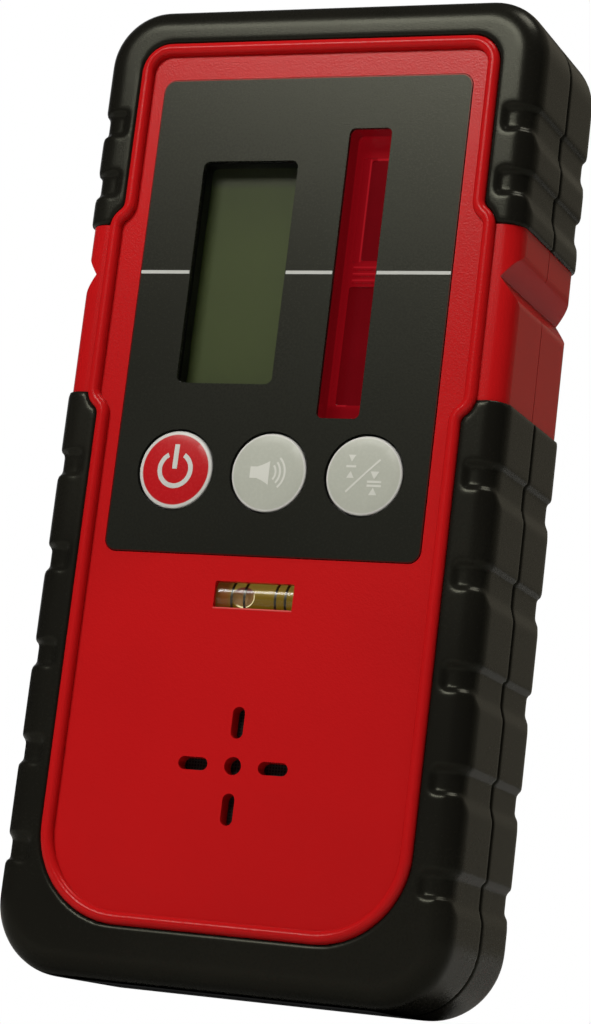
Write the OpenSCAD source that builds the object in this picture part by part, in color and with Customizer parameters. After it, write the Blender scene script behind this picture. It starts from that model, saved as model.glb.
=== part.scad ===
// Hand-held laser receiver: two red case halves in black grip armour, a display, a tall light
// sensor, three keys, a bubble vial, a buzzer, and a clamp thread and battery door at the rear.
// It stands upright: X is right, Y runs from front to rear, Z is up, and the case seam is at Y = 0.

/* [Case] */
// Width over the grip armour
case_w = 78; // [72:1:90]
// Height over the grip armour
case_h = 163; // [158:1:180]
// Thickness over the grip armour, front to rear
case_t = 31; // [31:0.5:38]
// Corner radius at the top, seen from the front
top_r = 10; // [8:0.5:14]
// Corner radius at the bottom, seen from the front
bottom_r = 12; // [9:0.5:16]
// Rounding of the long edges
edge_r = 4; // [3.2:0.2:5]
// Thickness of the grip armour
armour_t = 2.2; // [1.8:0.1:2.6]
// Wall thickness of the case halves
wall_t = 2.4; // [2:0.1:3]
// Gap between the front and rear armour at the seam
seam_gap = 0.25; // [0.1:0.05:0.5]

/* [Red mid-section] */
// Level line below the top of the case
level_drop = 46.5; // [44:0.5:50]
// Bare red above the level line
band_above = 8; // [6:0.5:10]
// Bare red below the level line
band_below = 20.9; // [18:0.1:23]
// How far the bare red lies under the armour surface
band_drop = 0.6; // [0.3:0.1:1]
// Depth of the side grooves that carry the level out to the edge
groove_depth = 2.7; // [2.1:0.3:3]
// Bottom of the side grooves below the level line
groove_drop = 0.6; // [0:0.1:1]

/* [Raised rim] */
// Armour showing beside the rim
rim_side = 7.1; // [6.5:0.1:8]
// Step of the rim at the mid-section
rim_step = 2.2; // [1.5:0.1:2.5]
// Armour showing above the rim
rim_over = 6.7; // [6:0.1:8]
// Armour showing below the rim
rim_under = 8.9; // [8:0.1:10]
// Width of the rim
rim_w = 2.1; // [1.8:0.1:2.4]
// Rim height over the armour
rim_proud = 0.6; // [0.3:0.1:0.9]
// Rim corner radius at the top
rim_top_r = 5; // [4:0.5:8]
// Rim corner radius at the bottom
rim_bottom_r = 15; // [10:0.5:16]

/* [Grip notches] */
// Depth of a notch
notch_depth = 0.7; // [0.5:0.05:1]
// Height of a notch
notch_h = 4.1; // [3:0.1:5]
// Bare armour between the rim and a notch
notch_start = 1.7; // [1:0.1:2.5]
// Slope from a notch down to the armour below it, on the sides
notch_slope = 2.2; // [1:0.1:3]
// Pitch of the lower notches
notch_pitch = 15.95; // [14:0.05:16]

/* [Front face] */
// Red showing between the rim and the label
label_side = 2.3; // [1.8:0.1:3]
// Label above the level line
label_above = 33.4; // [32:0.1:35]
// Label below the level line
label_below = 47.4; // [46.5:0.1:48]
// Display opening width
lcd_w = 17; // [15:0.1:17.5]
// Display opening height
lcd_h = 38; // [34:0.5:38.5]
// Centre of the display, left of the middle
lcd_x = 9.9; // [9.5:0.1:10.2]
// Sensor opening width
sensor_w = 7.4; // [6.5:0.1:7.8]
// Sensor opening height
sensor_h = 48.8; // [46:0.2:49]
// Centre of the sensor, right of the middle
sensor_x = 10.8; // [10.6:0.1:11.2]
// How deep the display lies under the label
lcd_depth = 3.4; // [3:0.1:4]
// How deep the sensor floor lies under the label
well_depth = 5; // [4.6:0.1:5.2]

/* [Keys] */
// Key radius
key_r = 6.5; // [6:0.1:6.7]
// Distance between key centres
key_pitch = 16.5; // [16.2:0.1:17]
// Keys below the level line
key_drop = 33.6; // [33.4:0.1:34]
// Key travel
key_travel = 0.7; // [0.4:0.1:0.8]
// Gap round a key
key_gap = 0.3; // [0.2:0.05:0.4]

/* [Vial and buzzer] */
// Vial opening width
vial_window_w = 13.7; // [12:0.1:15]
// Vial opening height
vial_window_h = 4.4; // [4:0.1:5]
// Vial below the level line
vial_drop = 53.8; // [53.5:0.1:55]
// Vial tube radius
vial_r = 3.5; // [3.2:0.1:3.7]
// Buzzer above the bottom of the rim
buzzer_up = 26.5; // [25:0.1:28]
// Distance of the buzzer slots from its middle hole
slot_reach = 6.9; // [6:0.1:7.4]

/* [Rear] */
// Clamp thread below the level line
clamp_drop = 19.5; // [18:0.5:22]
// Bore radius of the clamp thread, for a quarter inch screw
clamp_bore_r = 2.55; // [2.5:0.01:2.65]
// Depth of the clamp thread
clamp_bore_depth = 8; // [7:0.5:8.5]
// Battery door width
door_w = 31.4; // [30.5:0.1:32.4]
// Battery door height
door_h = 52.2; // [50:0.1:53]
// Gap round the battery door
door_gap = 0.3; // [0.2:0.05:0.4]

/* [Hidden] */
$fn = 64;
skim = 0.03;
half_w = case_w / 2;
half_t = case_t / 2;
level_z = case_h - level_drop;
face_drop = 0.8;
face_z = half_t - face_drop;
label_drop = 0.2;
label_t = 0.4;
label_top = face_z - label_drop;
label_floor = label_top - label_t;
front_in = face_z - 2.6;
rear_in = face_z - 3;
cavity_hw = half_w - armour_t - wall_t;
cavity_low = armour_t + wall_t;
cavity_high = case_h - armour_t - wall_t;
cavity_r = 6;
lip_t = 1.6;
lip_h = 3;
rim_hw = half_w - rim_side;
rim_mid_hw = rim_hw + rim_step;
rim_fall = rim_step * 3 / 4;
rim_top = case_h - rim_over;
rim_bottom = rim_under;
bead_r = rim_w / 2;
bead_z = half_t + rim_proud - bead_r;
kink_gap = 1.4;
kink_up_low = level_z + band_above + kink_gap;
kink_low_high = level_z - band_below - kink_gap;
bend_r = rim_step * 5 / 4;
bend_above = rim_fall + bend_r / 2 - bead_r / 2;
bend_below = bend_r / 2 + bead_r / 2;
shoulder_r = 2.1;
seam_line = 0.12;
upper_notches = [25.7, 15.05];
lower_notches = [for (i = [0:4]) -33.05 - i * notch_pitch];
notch_r = 0.8;
label_w = 2 * (rim_hw - rim_w - label_side);
label_mid = level_z + (label_above - label_below) / 2;
label_h = label_above + label_below;
well_z = label_top - well_depth;
lcd_z = label_top - lcd_depth;
lcd_glass_t = 1.8;
board_z = well_z - 2.6;
board_t = 1.6;
screw_x = rim_hw - 6.2;
front_boss_r = 3.2;
rear_boss_r = 4.2;
board_hw = screw_x - front_boss_r - 0.7;
board_low = level_z - 45.5;
board_high = level_z + 31.5;
frame_wall = 1.2;
frame_w = lcd_w + 2 * frame_wall;
frame_h = lcd_h + 2 * frame_wall;
lcd_glass_w = lcd_w + 4;
lcd_glass_h = lcd_h + 5;
lens_t = 0.8;
tub_wall = 0.9;
tub_w = sensor_w + 2 * tub_wall;
tub_h = sensor_h + 2 * tub_wall;
tub_floor = 0.8;
tray_w = tub_w + 1.6;
ledge_w = 0.95;
ledge_t = 0.4;
upper_ledge_w = 2.4;
rib_t = 0.7;
field_end = 3.4;
upper_field_low = 3;
lower_field_high = -1;
diode_pitch = 6;
diode_t = 1.3;
key_z = level_z - key_drop;
key_xs = [-key_pitch, 0, key_pitch];
key_top = label_top + 0.5;
key_dome = 0.3;
dome_r = (key_r * key_r + key_dome * key_dome) / (2 * key_dome);
key_edge = 0.35;
flange_r = key_r + 1.1;
flange_t = 1;
stem_r = 1.8;
switch_h = 3;
switch_w = 6;
plunger_r = 1.5;
plunger_top = board_z + switch_h + 0.6;
plunger_bottom = board_z + switch_h - 1.1;
vial_z = level_z - vial_drop;
vial_axis = face_z - 0.6 - vial_r;
vial_l = 19;
vial_bore = vial_r - 0.6;
bubble_r = 1.9;
cradle_wall = 1.8;
buzzer_r = 11.5;
buzzer_t = 4.5;
buzzer_ring = 1.5;
buzzer_top = vial_z - vial_r - cradle_wall - 0.5;
buzzer_z = min(rim_bottom + buzzer_up, buzzer_top - buzzer_r - buzzer_ring);
mesh_t = 0.3;
screw_spots = [[screw_x, rim_top - 5.3], [screw_x, level_z - 24.5], [screw_x, rim_bottom + 11.1]];
screw_seat = 6;
screw_head_r = 2.6;
screw_head_t = 2.2;
screw_r = 1.45;
screw_l = 15;
board_spots = [[board_hw - 3.3, board_high - 3], [key_pitch / 2, board_low + 3.4]];
board_head_t = 1;
chip_t = 1.1;
chips = [[-9, 10, 10, 10], [8, 14, 6, 5], [8, -2, 6, 5], [-12, -8, 4, 8], [3, -26, 8, 4]];
cell_r = 7.1;
cell_l = 50.5;
cell_x = 7.6;
cell_depth = rear_in - 0.4 - cell_r;
door_low = 15.2;
hinge_r = 1.4;
hinge_z = door_low + hinge_r;
hinge_depth = face_z - hinge_r;
pin_r = 0.9;
pin_l = 3.3;
door_t = 2;
tray_in_w = 30.4;
bay_low = door_low - 2;
bay_high = bay_low + cell_l + 5.1;
bay_wall = 1.2;
bay_base = 0.9;
bay_floor = cell_depth - cell_r - 0.2;
finger_h = 6;
finger_z = door_low + door_h + 1.6;
insert_r = 4.2;
insert_l = clamp_bore_depth + 1.5;
pad_w = 30;
pad_h = 15;
clamp_z = max(level_z - clamp_drop, finger_z + (finger_h + pad_h + 1) / 2);
dowel_x = 10.5;
dowel_r = 1.6;
dowel_depth = 2.5;
pad_top = half_t + rim_proud;

red = [0.72, 0.08, 0.09];
black = [0.09, 0.09, 0.09];
grey = [0.72, 0.73, 0.69];
green = [0.08, 0.32, 0.17];
steel = [0.7, 0.71, 0.73];
brass = [0.76, 0.6, 0.28];

// Sub-part to draw

// Each half is drawn lying on the seam plane, face up: x is right, y is up the case, and z is the
// height over the seam. These two stand it up as the front half or turn it round as the rear half.
module on_front() rotate([90, 0, 0]) children();
module on_rear() mirror([0, 1, 0]) rotate([90, 0, 0]) children();

module along_y(y0, y1) translate([0, y1, 0]) rotate([90, 0, 0]) linear_extrude(y1 - y0) children();
module along_x(x0, x1) translate([x0, 0, 0]) rotate([90, 0, 90]) linear_extrude(x1 - x0) children();
module rod(x, y, z, r, l) translate([x, y, z]) rotate([0, 90, 0]) cylinder(r = r, h = l);
module both_sides() for (s = [0, 1]) mirror([s, 0, 0]) children();

// What a rounded corner of radius r takes away from a square one, centred on the arc
module corner_waste(r) difference() {
  square(r + 1);
  circle(r);
}

module rounded_rect(w, h, r) difference() {
  square([w, h], center = true);
  for (a = [0:3])
    rotate(a * 90)
      translate(a % 2 == 0 ? [w / 2 - r, h / 2 - r] : [h / 2 - r, w / 2 - r])
        corner_waste(r);
}

module plate(x, y, z0, z1, w, h, r) translate([x, y, z0]) linear_extrude(z1 - z0) rounded_rect(w, h, r);
module post(x, y, z0, z1, r) translate([x, y, z0]) cylinder(r = r, h = z1 - z0);

// Section through one half from the middle out to its rounded edge
module edge_profile(run, rise, r) difference() {
  square([run, rise]);
  translate([run - r, rise - r]) corner_waste(r);
}

module cross_profile(g) for (s = [0, 1])
  mirror([s, 0]) edge_profile(half_w - g, half_t - g, edge_r - g);

// One half of the case as a pillow, g inside the armour surface
module pillow(g) {
  top = case_h - g;
  rt = top_r - g;
  rb = bottom_r - g;
  w = half_w - g;
  rise = half_t - g;
  er = edge_r - g;
  along_y(g + rb, top - rt) cross_profile(g);
  along_x(rt - w, w - rt) translate([top - rt, 0]) edge_profile(rt, rise, er);
  along_x(rb - w, w - rb) translate([g + rb, 0]) mirror([1, 0]) edge_profile(rb, rise, er);
  both_sides() {
    translate([w - rt, top - rt, 0]) rotate_extrude(angle = 90) edge_profile(rt, rise, er);
    translate([w - rb, g + rb, 0])
      rotate([0, 0, -90]) rotate_extrude(angle = 90) edge_profile(rb, rise, er);
  }
}

// The rim steps out at the mid-section in an S-bend of two equal arcs, each turning by the angle
// of a 3-4-5 triangle. At height 0 of a bend the step ends; g is the inset from the outer edge.
bend_in = [rim_hw - bead_r + bend_r, bend_above];
bend_out = [rim_mid_hw - bead_r - bend_r, -bend_below];
bend_angle = atan2(4, 3);

module at_bends() {
  translate([0, kink_up_low, 0]) children();
  translate([0, kink_low_high, 0]) mirror([0, 1, 0]) children();
}

module bend_fill(g) difference() {
  meet = bend_in - (bend_r - bead_r + g) * [0.6, 0.8];
  polygon([[0, bend_in[1]], [meet[0], bend_in[1]], meet, [0, meet[1]]]);
  translate(bend_in) circle(bend_r - bead_r + g);
}

module bend_waste(g) difference() {
  meet = bend_out + (bend_r + bead_r - g) * [0.6, 0.8];
  polygon([meet, [rim_mid_hw + 1, meet[1]], [rim_mid_hw + 1, bend_out[1]], [meet[0] - 1, bend_out[1]]]);
  translate(bend_out) circle(bend_r + bead_r - g);
}

module rim_outline(g) difference() {
  reach = 0.8 * (bend_r + bead_r - g) - bend_below;
  union() {
    translate([g - rim_hw, rim_bottom + g]) square([2 * (rim_hw - g), rim_top - rim_bottom - 2 * g]);
    translate([g - rim_mid_hw, kink_low_high - reach])
      square([2 * (rim_mid_hw - g), kink_up_low - kink_low_high + 2 * reach]);
    for (s = [0, 1]) mirror([s, 0]) at_bends() bend_fill(g);
  }
  for (s = [0, 1]) mirror([s, 0]) {
    at_bends() bend_waste(g);
    translate([rim_hw - rim_top_r, rim_top - rim_top_r]) corner_waste(rim_top_r - g);
    translate([rim_hw - rim_bottom_r, rim_bottom + rim_bottom_r])
      rotate(-90) corner_waste(rim_bottom_r - g);
  }
}

// Round bead of the rim: straight runs, S-bends and swept corners
module bead_run(x, y0, y1) translate([x, y1, bead_z])
  rotate([90, 0, 0]) cylinder(r = bead_r, h = y1 - y0);

module bead_bend(at, turn) translate([at[0], at[1], bead_z])
  rotate([0, 0, turn]) rotate_extrude(angle = bend_angle) translate([bend_r, 0]) circle(bead_r);

module bead() {
  both_sides() {
    bead_run(rim_hw - bead_r, kink_up_low + bend_above, rim_top - rim_top_r);
    bead_run(rim_mid_hw - bead_r, kink_low_high + bend_below, kink_up_low - bend_below);
    bead_run(rim_hw - bead_r, rim_bottom + rim_bottom_r, kink_low_high - bend_above);
    at_bends() {
      bead_bend(bend_in, 180);
      bead_bend(bend_out, 0);
    }
    translate([rim_hw - rim_top_r, rim_top - rim_top_r, bead_z])
      rotate_extrude(angle = 90) translate([rim_top_r - bead_r, 0]) circle(bead_r);
    translate([rim_hw - rim_bottom_r, rim_bottom + rim_bottom_r, bead_z])
      rotate([0, 0, -90])
        rotate_extrude(angle = 90) translate([rim_bottom_r - bead_r, 0]) circle(bead_r);
  }
  rod(rim_top_r - rim_hw, rim_top - bead_r, bead_z, bead_r, 2 * (rim_hw - rim_top_r));
  rod(rim_bottom_r - rim_hw, rim_bottom + bead_r, bead_z, bead_r, 2 * (rim_hw - rim_bottom_r));
}

module hollow(depth) {
  mid = (cavity_low + cavity_high) / 2;
  h = cavity_high - cavity_low;
  plate(0, mid, lip_h, depth, 2 * cavity_hw, h, cavity_r);
  plate(0, mid, -1, lip_h + 1, 2 * (cavity_hw - lip_t), h - 2 * lip_t, cavity_r - lip_t);
}

// Half of the V-shaped side groove: 4 up for every 3 out, with a rounded shoulder
module groove_half() {
  edge = [groove_depth, groove_depth * 4 / 3];
  t = shoulder_r / 3;
  polygon([[0, 0], [groove_depth * 2, 0], [groove_depth * 2, groove_depth * 8 / 3]]);
  translate(edge) difference() {
    polygon([[-0.6 * t, -0.8 * t], [0.3, -0.8 * t], [0.3, t], [0, t]]);
    translate([-shoulder_r, t]) circle(shoulder_r);
  }
}

// One red half: the core under the armour, the bare mid-section, the sunk face and the rim
module red_half(depth) difference() {
  union() {
    difference() {
      union() {
        pillow(armour_t);
        along_y(level_z - band_below, level_z + band_above) cross_profile(band_drop);
        translate([0, 0, half_t - armour_t - 1])
          linear_extrude(armour_t + 1 - face_drop) rim_outline(0.15);
      }
      translate([0, 0, face_z]) linear_extrude(4) rim_outline(bead_r);
    }
    bead();
  }
  hollow(depth);
  both_sides() {
    translate([half_w - band_drop - groove_depth, level_z - groove_drop, -1])
      linear_extrude(half_t + 2)
        for (s = [0, 1]) mirror([0, s]) groove_half();
    translate([half_w - band_drop - 2 * seam_line, level_z - band_below, -1])
      cube([1, band_above + band_below, 1 + seam_line]);
  }
}

module slot(a) rotate(a) translate([slot_reach, 0]) {
  square([3, 2.1], center = true);
  for (s = [-1, 1]) translate([1.5 * s, 0]) circle(1.05);
}

module front_shell() color(red) on_front() difference() {
  union() {
    red_half(front_in);
    difference() {
      for (p = screw_spots) both_sides() post(p[0], p[1], 0, front_in + 0.5, front_boss_r);
      mirror([0, 0, 1]) bay_block(0.1);
    }
    for (p = board_spots) both_sides() post(p[0], p[1], board_z, front_in + 0.5, 2.4);
    post(0, buzzer_z, front_in - 3, front_in + 0.5, buzzer_r + buzzer_ring);
  }
  post(0, buzzer_z, 0, front_in, buzzer_r + skim);
  for (p = screw_spots) both_sides() post(p[0], p[1], -1, 9.5, 1.5);
  for (p = board_spots) both_sides() post(p[0], p[1], board_z - 1, board_z + 5, 1.05);
  plate(0, label_mid, label_floor, half_t, label_w + 0.2, label_h + 0.2, 2.1);
  plate(-lcd_x, level_z, front_in - 1, half_t, frame_w + 0.1, frame_h + 0.1, 1.6);
  plate(sensor_x, level_z, front_in - 1, half_t, tub_w + 0.1, tub_h + 0.1, 1.2);
  for (x = key_xs) post(x, key_z, front_in - 1, half_t, key_r + key_gap);
  plate(0, vial_z, front_in - 1, half_t, vial_window_w, vial_window_h, 0.3);
  rod(-vial_l / 2 - 0.1, vial_z, vial_axis, vial_r + skim, vial_l + 0.2);
  post(0, buzzer_z, front_in - 1, half_t, 1.45);
  translate([0, buzzer_z, front_in - 1]) linear_extrude(6) for (a = [0:90:270]) slot(a);
}

module rear_shell() color(red) on_rear() difference() {
  union() {
    red_half(rear_in);
    plate(0, clamp_z, face_z - 1, pad_top, pad_w, pad_h, 3);
    post(0, clamp_z, pad_top - insert_l - 2, rear_in + 0.5, insert_r + 2.3);
    difference() {
      for (p = screw_spots) both_sides() post(p[0], p[1], 0, rear_in + 0.5, rear_boss_r);
      bay_block(0.1);
    }
  }
  post(0, clamp_z, pad_top - insert_l, pad_top + 1, insert_r + skim);
  both_sides() post(dowel_x, clamp_z, pad_top - dowel_depth, pad_top + 1, dowel_r);
  for (p = screw_spots) both_sides() {
    post(p[0], p[1], screw_seat, half_t + 2, 2.9);
    post(p[0], p[1], -1, screw_seat + 1, 1.7);
  }
  gasket_ring(0.01);
  translate([-door_w / 2 - door_gap, door_low - door_gap, rear_in - 1])
    cube([door_w + 2 * door_gap, door_h + 2 * door_gap, 6]);
  rod(-door_w / 2 - pin_l - 0.2, hinge_z, hinge_depth, pin_r + 0.25, door_w + 2 * pin_l + 0.4);
  plate(0, finger_z, face_z - 1.3, face_z + 2, 12, finger_h, 2);
}

// Grip notches: what lies outside the sunk surface between two heights, with a slope at the sides
module notches(list) for (v = list) {
  y0 = level_z + v - notch_h / 2;
  out = 2 * notch_depth;
  difference() {
    both_sides() plate(rim_hw + notch_start + 10, level_z + v, -1, half_t + 2, 20, notch_h, notch_r);
    along_y(y0 - 1, y0 + notch_h + 1) cross_profile(notch_depth);
  }
  both_sides()
    translate([half_w - notch_depth, y0 + notch_r, -1])
      linear_extrude(half_t + 2)
        polygon([[0, 0], [0, -notch_r], [out, -notch_r - 2 * notch_slope], [out, 0]]);
}

module armour(low, high, list) difference() {
  intersection() {
    pillow(0);
    translate([-case_w, low, seam_gap / 2]) cube([2 * case_w, high - low, case_t]);
  }
  pillow(armour_t);
  translate([0, 0, 1]) linear_extrude(case_t) rim_outline(-0.05);
  notches(list);
}

module upper_armour() armour(level_z + band_above, case_h + 1, upper_notches);
module lower_armour() armour(-1, level_z - band_below, lower_notches);

module front_upper_armour() color(black) on_front() upper_armour();
module front_lower_armour() color(black) on_front() lower_armour();
module rear_upper_armour() color(black) on_rear() upper_armour();
module rear_lower_armour() color(black) on_rear() lower_armour();

// Square-section ring laid in a groove of the rear half
module gasket_ring(g) {
  w = cavity_hw - 0.4;
  h = (cavity_high - cavity_low) / 2 - 0.4;
  mid = (cavity_low + cavity_high) / 2;
  difference() {
    plate(0, mid, -g, 1 + g, 2 * (w + g), 2 * (h + g), cavity_r - 0.4 + g);
    plate(0, mid, -1, 3, 2 * (w - 1 - g), 2 * (h - 1 - g), cavity_r - 1.4 - g);
  }
}

module case_gasket() color(black) on_rear() gasket_ring(0);

module case_screws() color(steel) on_rear() for (p = screw_spots) both_sides() {
  difference() {
    post(p[0], p[1], screw_seat, screw_seat + screw_head_t, screw_head_r);
    for (a = [0, 90])
      translate([p[0], p[1], screw_seat + screw_head_t])
        rotate(a)
          cube([2.8, 0.6, 2.2], center = true);
  }
  post(p[0], p[1], screw_seat - screw_l, screw_seat, screw_r);
}

module front_label() color(black) on_front() difference() {
  plate(0, label_mid, label_floor, label_top, label_w, label_h, 2);
  plate(-lcd_x, level_z, label_floor - 1, label_top + 1, lcd_w, lcd_h, 1.2);
  plate(sensor_x, level_z, label_floor - 1, label_top + 1, sensor_w, sensor_h, 1);
  for (x = key_xs) post(x, key_z, label_floor - 1, label_top + 1, key_r + key_gap);
}

module lcd_lens() color([0.8, 0.85, 0.85, 0.4]) on_front()
  plate(-lcd_x, level_z, label_floor - lens_t, label_floor, lcd_w + 1.2, lcd_h + 1.2, 1.2);

module lcd_frame() color(black) on_front() difference() {
  wall = 2 * frame_wall;
  union() {
    plate(-lcd_x, level_z, front_in - 1, label_floor, frame_w, frame_h, 1.5);
    plate(-lcd_x, level_z, board_z, front_in, lcd_glass_w + wall, lcd_glass_h + wall, 1.5);
  }
  plate(-lcd_x, level_z, board_z - 1, label_floor + 1, lcd_w, lcd_h, 1.2);
  plate(-lcd_x, level_z, label_floor - lens_t, label_floor + 1, lcd_w + 1.2, lcd_h + 1.2, 1.2);
  plate(-lcd_x, level_z, board_z - 1, lcd_z, lcd_glass_w, lcd_glass_h, 0.8);
}

module lcd_glass() color([0.3, 0.33, 0.22]) on_front()
  plate(-lcd_x, level_z, lcd_z - lcd_glass_t, lcd_z, lcd_glass_w, lcd_glass_h, 0.8);

module contact_strips() color(grey) on_front() for (s = [-1, 1])
  translate([-lcd_x - lcd_glass_w / 2 + 1, level_z + s * (lcd_glass_h / 2 - 1.6) - 1.2, board_z])
    cube([lcd_glass_w - 2, 2.4, lcd_z - lcd_glass_t - board_z]);

// Red tub. A raised ledge on its floor frames two long light fields; the upper one has a second,
// lower step at its left, and three cross ribs part the fields just above the level line.
module sensor_floor(x0, y0, y1, z0, z1, r) {
  left = sensor_x - sensor_w / 2 + x0;
  right = sensor_x + sensor_w / 2 - 0.5;
  plate((left + right) / 2, level_z + (y0 + y1) / 2, z0, z1, right - left, y1 - y0, r);
}

module sensor_window() color([0.5, 0.02, 0.05, 0.8]) on_front() {
  end = sensor_h / 2 - field_end;
  difference() {
    plate(sensor_x, level_z, well_z - tub_floor, label_floor, tub_w, tub_h, 1.1);
    plate(sensor_x, level_z, well_z + ledge_t, label_floor + 1, sensor_w, sensor_h, 1);
    sensor_floor(ledge_w, upper_field_low, end, well_z + ledge_t / 2, well_z + 1, 0.5);
    sensor_floor(upper_ledge_w, upper_field_low + 0.4, end - 0.4, well_z, well_z + 1, 0.5);
    sensor_floor(ledge_w, -end, lower_field_high, well_z, well_z + 1, 0.5);
  }
  for (i = [0:2]) {
    low = lower_field_high + 0.6 + 1.1 * i;
    sensor_floor(ledge_w + 0.3, low, low + 0.5, well_z + ledge_t / 2, well_z + rib_t, 0.2);
  }
}

module sensor_holder() color(black) on_front() difference() {
  plate(sensor_x, level_z, board_z, well_z - tub_floor, tray_w, tub_h, 1);
  for (i = [-3.5:3.5])
    translate([sensor_x, level_z + i * diode_pitch, board_z + 2])
      cube([5.4, diode_pitch - 1, 8], center = true);
}

module photodiodes() color([0.15, 0.13, 0.2]) on_front() for (i = [-3.5:3.5])
  translate([sensor_x - 2.65, level_z + i * diode_pitch - diode_pitch / 2 + 0.55, board_z])
    cube([5.3, diode_pitch - 1.1, diode_t]);

module main_board() color(green) on_front() difference() {
  mid = (board_low + board_high) / 2;
  plate(0, mid, board_z - board_t, board_z, 2 * board_hw, board_high - board_low, 2);
  for (p = board_spots) both_sides() post(p[0], p[1], board_z - board_t - 1, board_z + 1, 1.3);
}

module board_chips() color(black) on_front() {
  low = board_z - board_t - chip_t;
  for (c = chips)
    translate([c[0] - c[2] / 2, level_z + c[1] - c[3] / 2, low])
      cube([c[2], c[3], chip_t]);
}

module board_screws() color(steel) on_front() for (p = board_spots) both_sides() {
  post(p[0], p[1], board_z - board_t - board_head_t, board_z - board_t, 2);
  post(p[0], p[1], board_z - board_t, board_z + 4.5, 1);
}

module key_switches() color(black) on_front() for (x = key_xs) difference() {
  translate([x - switch_w / 2, key_z - switch_w / 2, board_z]) cube([switch_w, switch_w, switch_h]);
  post(x, key_z, plunger_bottom - key_travel - 0.3, board_z + switch_h + 1, plunger_r + 0.3);
}

module plunger(i) color([0.85, 0.85, 0.82]) on_front()
  post(key_xs[i], key_z, plunger_bottom, plunger_top, plunger_r);

module power_plunger() plunger(0);
module volume_plunger() plunger(1);
module precision_plunger() plunger(2);

// Domed key with a soft edge, a flange behind the wall and a stem down to its switch
module key(i) on_front() translate([key_xs[i], key_z, 0]) {
  shoulder = key_r - key_edge;
  edge_z = key_top - dome_r + sqrt(dome_r * dome_r - shoulder * shoulder) - key_edge;
  rotate_extrude() difference() {
    intersection() {
      translate([0, front_in]) square([key_r, key_top - front_in]);
      translate([0, key_top - dome_r]) circle(dome_r, $fn = 180);
    }
    translate([shoulder, edge_z]) corner_waste(key_edge);
  }
  post(0, 0, front_in - flange_t, front_in, flange_r);
  post(0, 0, plunger_top, front_in - flange_t, stem_r);
}

module power_key() color(red) key(0);
module volume_key() color(grey) key(1);
module precision_key() color(grey) key(2);

module vial_axis_at(x0) translate([x0, vial_z, vial_axis]) rotate([0, 90, 0]) children();

module vial_tube() color([0.8, 0.85, 0.6, 0.4]) on_front() difference() {
  vial_axis_at(-vial_l / 2) cylinder(r = vial_r, h = vial_l);
  vial_axis_at(-vial_l / 2 - 1) cylinder(r = vial_bore, h = vial_l + 2);
}

module vial_liquid() color([0.62, 0.6, 0.12, 0.7]) on_front() difference() {
  vial_axis_at(2 - vial_l / 2) cylinder(r = vial_bore - skim, h = vial_l - 4);
  translate([-3.35, vial_z + vial_bore - bubble_r - 0.1, vial_axis]) sphere(r = bubble_r);
}

module vial_plugs() color(grey) on_front() both_sides()
  vial_axis_at(vial_l / 2 - 2) cylinder(r = vial_bore - skim, h = 2);

module vial_cradle() color(grey) on_front() difference() {
  translate([-vial_l / 2 - 1.2, vial_z - vial_r - cradle_wall, vial_axis - vial_r - 1])
    cube([vial_l + 2.4, 2 * (vial_r + cradle_wall), front_in - vial_axis + vial_r + 1]);
  vial_axis_at(-vial_l / 2 - 0.1) cylinder(r = vial_r + skim, h = vial_l + 0.2);
  translate([-vial_l / 2 - 0.1, vial_z - vial_r - skim, vial_axis])
    cube([vial_l + 0.2, 2 * (vial_r + skim), 5]);
}

module buzzer() color(black) on_front() difference() {
  post(0, buzzer_z, front_in - mesh_t - buzzer_t, front_in - mesh_t, buzzer_r);
  post(0, buzzer_z, front_in - mesh_t - 1, front_in + 1, 1.2);
}

module speaker_mesh() color([0.2, 0.2, 0.2]) on_front()
  post(0, buzzer_z, front_in - mesh_t, front_in, buzzer_r - 0.5);

// Outer block of the battery tray, grown by g
module bay_block(g) {
  side = bay_wall + g;
  low = bay_floor - bay_base - g;
  translate([-tray_in_w / 2 - side, bay_low - side, low])
    cube([tray_in_w + 2 * side, bay_high - bay_low + 2 * side, rear_in - low]);
}

module battery_tray() color(black) on_rear() difference() {
  bay_block(0);
  translate([-tray_in_w / 2, bay_low, bay_floor])
    cube([tray_in_w, bay_high - bay_low, 30]);
}

// Two cells side by side, one up and one down, each with its raised cap
module battery_cells() color([0.75, 0.76, 0.78]) on_rear() for (s = [-1, 1])
  translate([s * cell_x, (bay_low + bay_high) / 2, cell_depth])
    rotate([s * 90, 0, 0])
      translate([0, 0, -cell_l / 2]) {
        cylinder(r = cell_r, h = cell_l - 1.5);
        translate([0, 0, cell_l - 1.5]) cylinder(r = 2.6, h = 1.5);
      }

// Bent leaf contacts at both ends of each cell
module battery_contacts() color(steel) on_rear() {
  mid = (bay_low + bay_high) / 2;
  for (e = [-1, 1], s = [-1, 1])
    translate([s * cell_x, mid, cell_depth]) mirror([0, e > 0 ? 0 : 1, 0]) {
      translate([-6, cell_l / 2 + 2.15, -6]) cube([12, 0.4, 12]);
      translate([-3, cell_l / 2, -3]) cube([6, 0.4, 6]);
      translate([-3, cell_l / 2, -3.4]) cube([6, 2.55, 0.4]);
    }
}

// Door with a hinge barrel and pins at the bottom and a slit spring tongue at the top
module battery_door() color(red) on_rear() {
  top = door_low + door_h;
  difference() {
    union() {
      translate([-door_w / 2, hinge_z, face_z - door_t]) cube([door_w, top - hinge_z, door_t]);
      rod(-door_w / 2, hinge_z, hinge_depth, hinge_r, door_w);
    }
    both_sides() translate([5.6, top - 9, face_z - 5]) cube([0.8, 10, 10]);
  }
  both_sides() rod(door_w / 2, hinge_z, hinge_depth, pin_r, pin_l);
  for (i = [0:2]) translate([-4, top - 3 - 1.8 * i, face_z]) cube([8, 0.8, 0.5]);
}

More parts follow.
